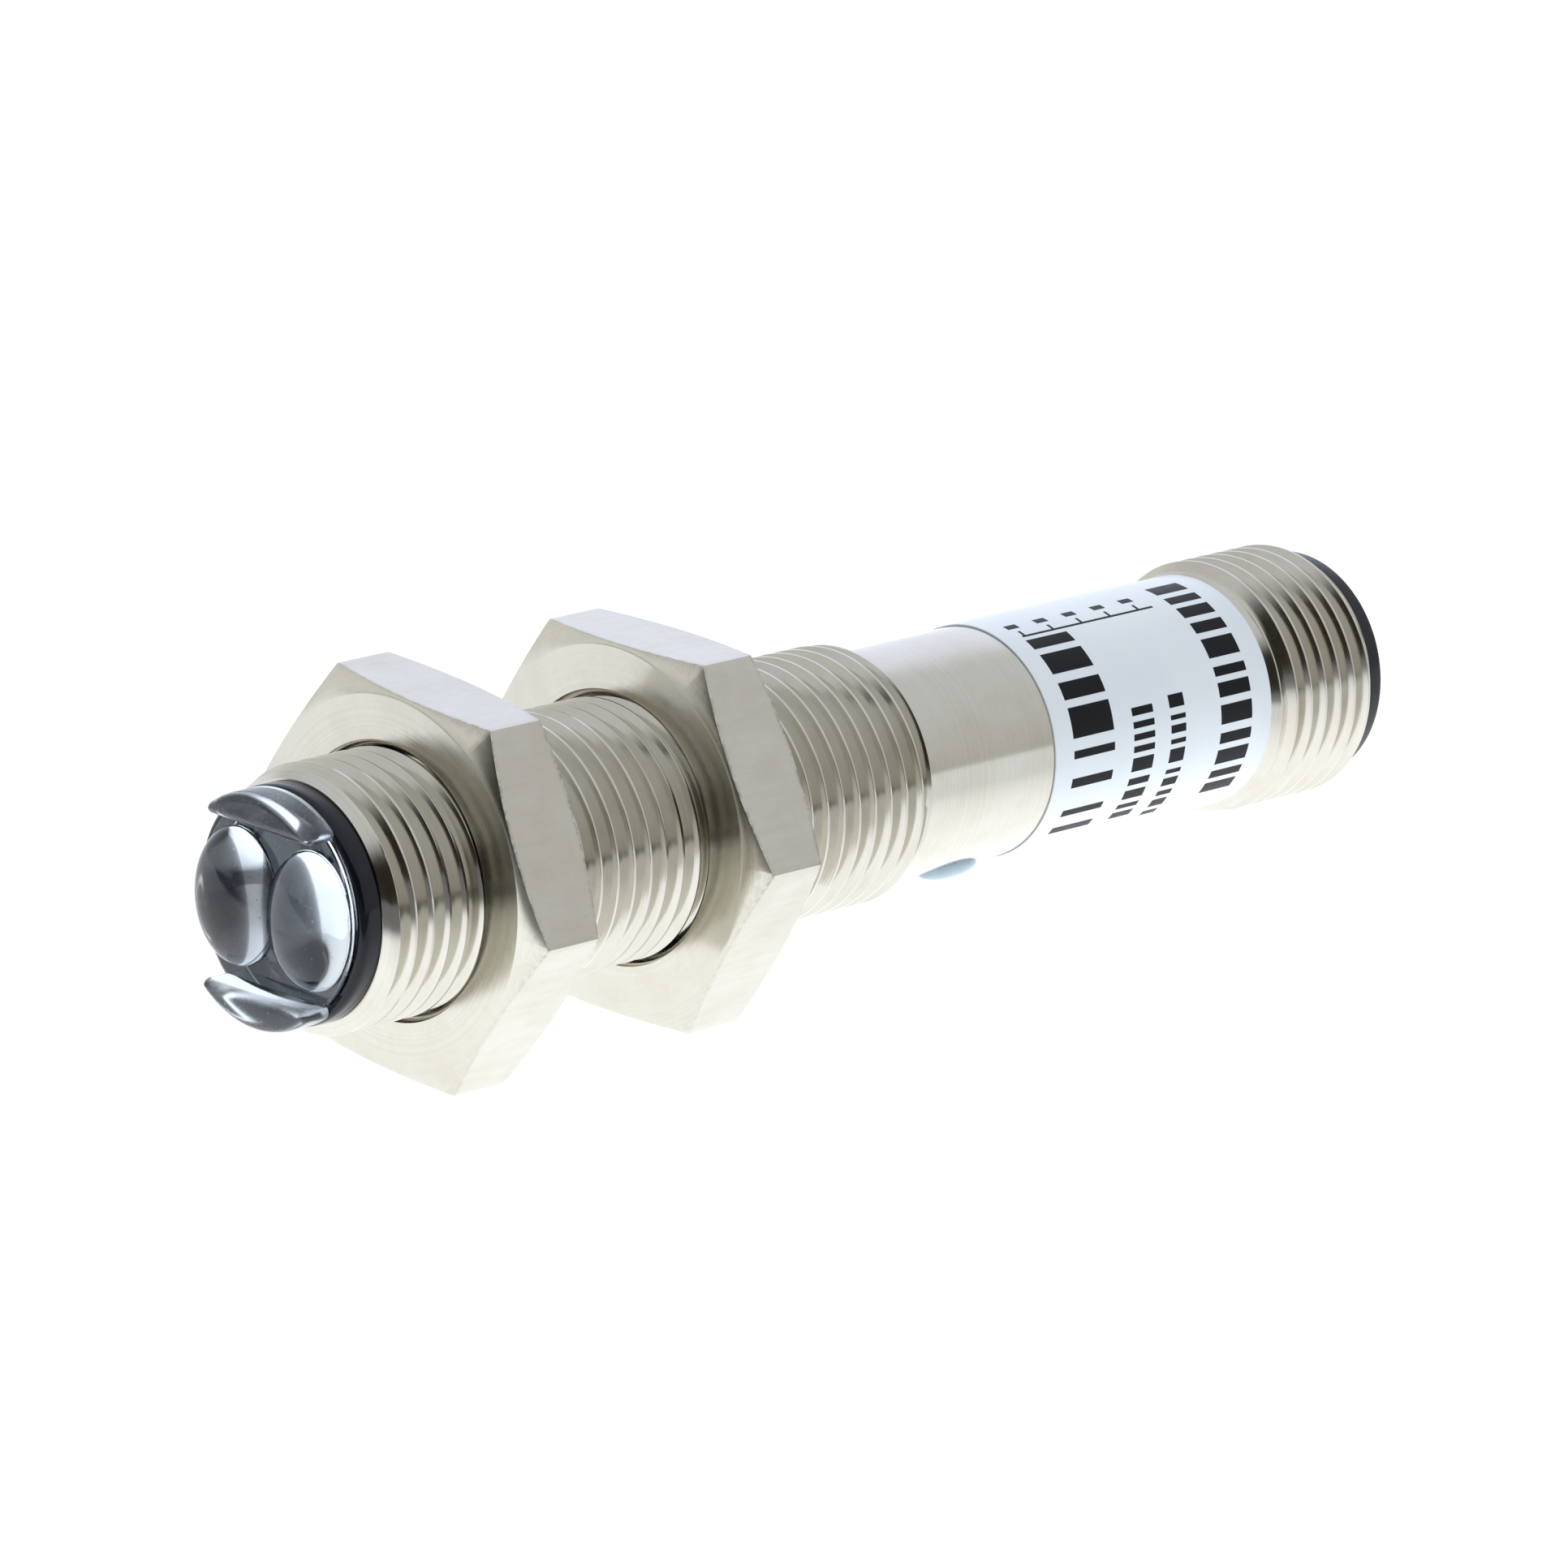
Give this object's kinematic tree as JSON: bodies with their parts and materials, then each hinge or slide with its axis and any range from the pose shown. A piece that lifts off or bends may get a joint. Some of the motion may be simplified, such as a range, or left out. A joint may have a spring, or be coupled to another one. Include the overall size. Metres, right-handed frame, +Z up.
{
  "type": "photoelectric sensor",
  "caption": "Slim cylindrical photoelectric sensor: threaded metal barrel, twin-lens clear front, hexagon fixing nuts, wrap-round label and a round plug connector at the rear.",
  "frame": {"origin": "on the sensor's axis, in the plane of the connector's rear rim", "axes": "+X along the sensor's axis and out of the connector, so the lens looks towards -X; +Z up, square to the top flat of the rear nut"},
  "size_m": [0.0666, 0.0196, 0.0178],
  "materials": {
    "barrel_nickel": "nickel-plated brass, turned, satin",
    "shell_nickel": "nickel-plated brass, turned and threaded",
    "nut_nickel": "nickel-plated brass, bright with fine turning marks",
    "lens_clear": "clear acrylic, polished",
    "ring_black": "black plastic, glossy",
    "holder_black": "black plastic, matt",
    "filter_dark": "polarising film, dark",
    "label_film": "silver-white film, printed black",
    "window_clear": "clear plastic, pale blue",
    "carrier_black": "black glass-filled nylon",
    "seal_rubber": "nitrile rubber",
    "contact_gold": "gold-plated brass",
    "potting_resin": "cast polyurethane resin",
    "lead_brown": "PVC insulation, brown",
    "lead_white": "PVC insulation, white",
    "lead_blue": "PVC insulation, blue",
    "lead_black": "PVC insulation, black",
    "board_green": "glass-epoxy board with green solder mask",
    "chip_black": "moulded epoxy package",
    "led_lens": "clear cast epoxy, amber",
    "emitter_red": "clear cast epoxy, red",
    "photodiode_dark": "dark cast epoxy",
    "capacitor_ceramic": "ceramic chip"
  },
  "bodies": {
    "sensor_body": {"barrel": "barrel_nickel", "connector_shell": "shell_nickel", "lens_block": "lens_clear", "lens_ring": "ring_black", "optics_holder": "holder_black", "emitter_filter": "filter_dark", "receiver_filter": "filter_dark", "rating_label": "label_film", "indicator_window": "window_clear", "contact_carrier": "carrier_black", "carrier_seal": "seal_rubber", "contact_pin_1": "contact_gold", "contact_pin_2": "contact_gold", "contact_pin_3": "contact_gold", "contact_pin_4": "contact_gold", "potting_plug": "potting_resin", "lead_brown": "lead_brown", "lead_white": "lead_white", "lead_blue": "lead_blue", "lead_black": "lead_black", "optics_board": "board_green", "main_board": "board_green", "sensor_chip": "chip_black", "voltage_regulator": "chip_black", "output_transistor": "chip_black", "indicator_led": "led_lens", "emitter_led": "emitter_red", "receiver_photodiode": "photodiode_dark", "board_capacitors": "capacitor_ceramic"},
    "front_nut": {"front_nut": "nut_nickel"},
    "rear_nut": {"rear_nut": "nut_nickel"}
  },
  "joints": [
    {"name": "front_nut_travel", "type": "slide", "parent": "sensor_body", "child": "front_nut", "axis": [1, 0, 0], "range_m": [-0.004, 0.004]},
    {"name": "rear_nut_travel", "type": "slide", "parent": "sensor_body", "child": "rear_nut", "axis": [1, 0, 0], "range_m": [-0.004, 0.01]}
  ]
}
